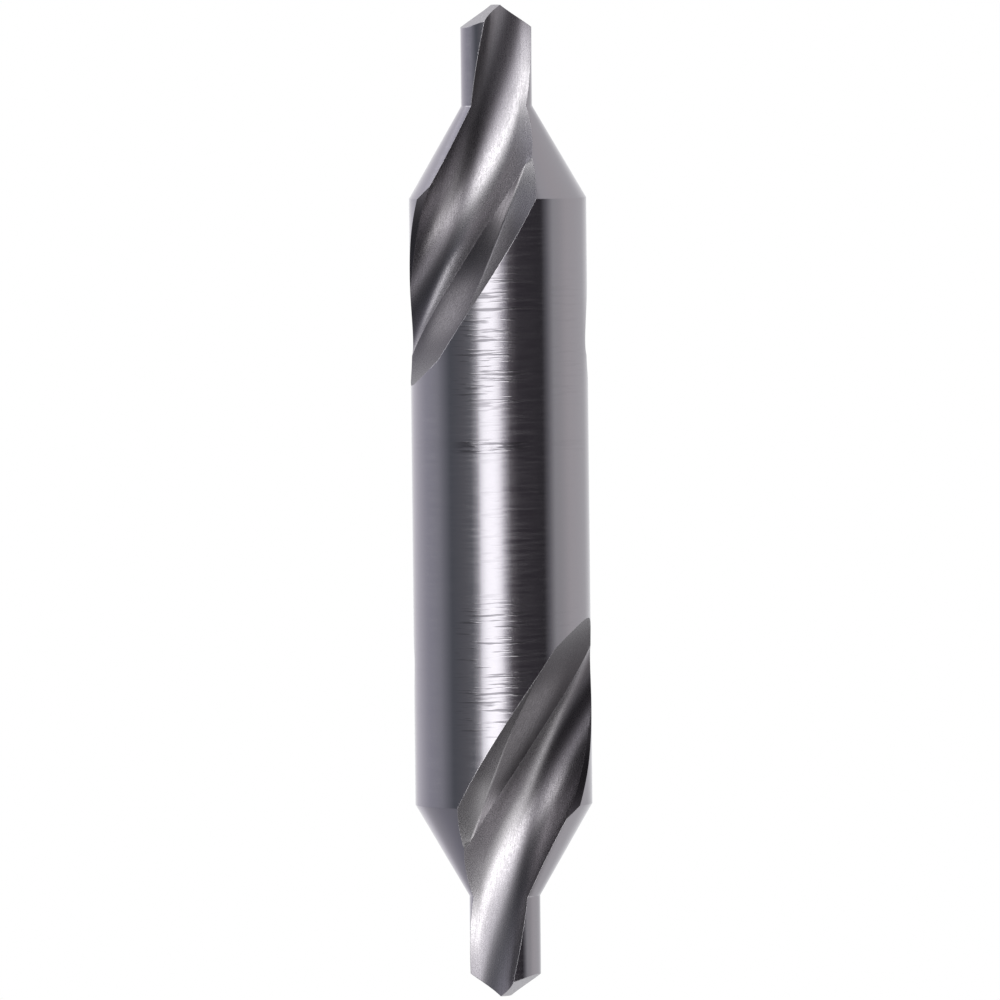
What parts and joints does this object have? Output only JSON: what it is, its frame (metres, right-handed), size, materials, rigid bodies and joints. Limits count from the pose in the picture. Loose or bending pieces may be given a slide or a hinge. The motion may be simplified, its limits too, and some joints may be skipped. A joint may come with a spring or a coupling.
{
  "type": "centre drill",
  "caption": "Double-ended centre drill: a short pilot point and a tapered countersink with helical flutes at each end of a plain round shank",
  "frame": {"origin": "on the drill axis, half way between the two points", "axes": "+Z along the drill axis towards the first end, -Y the front that the picture shows, +X to its right"},
  "size_m": [0.01, 0.01, 0.056],
  "materials": {
    "ground_steel": "bright ground high-speed steel"
  },
  "bodies": {
    "root": {"centre_drill": "ground_steel"}
  },
  "joints": []
}
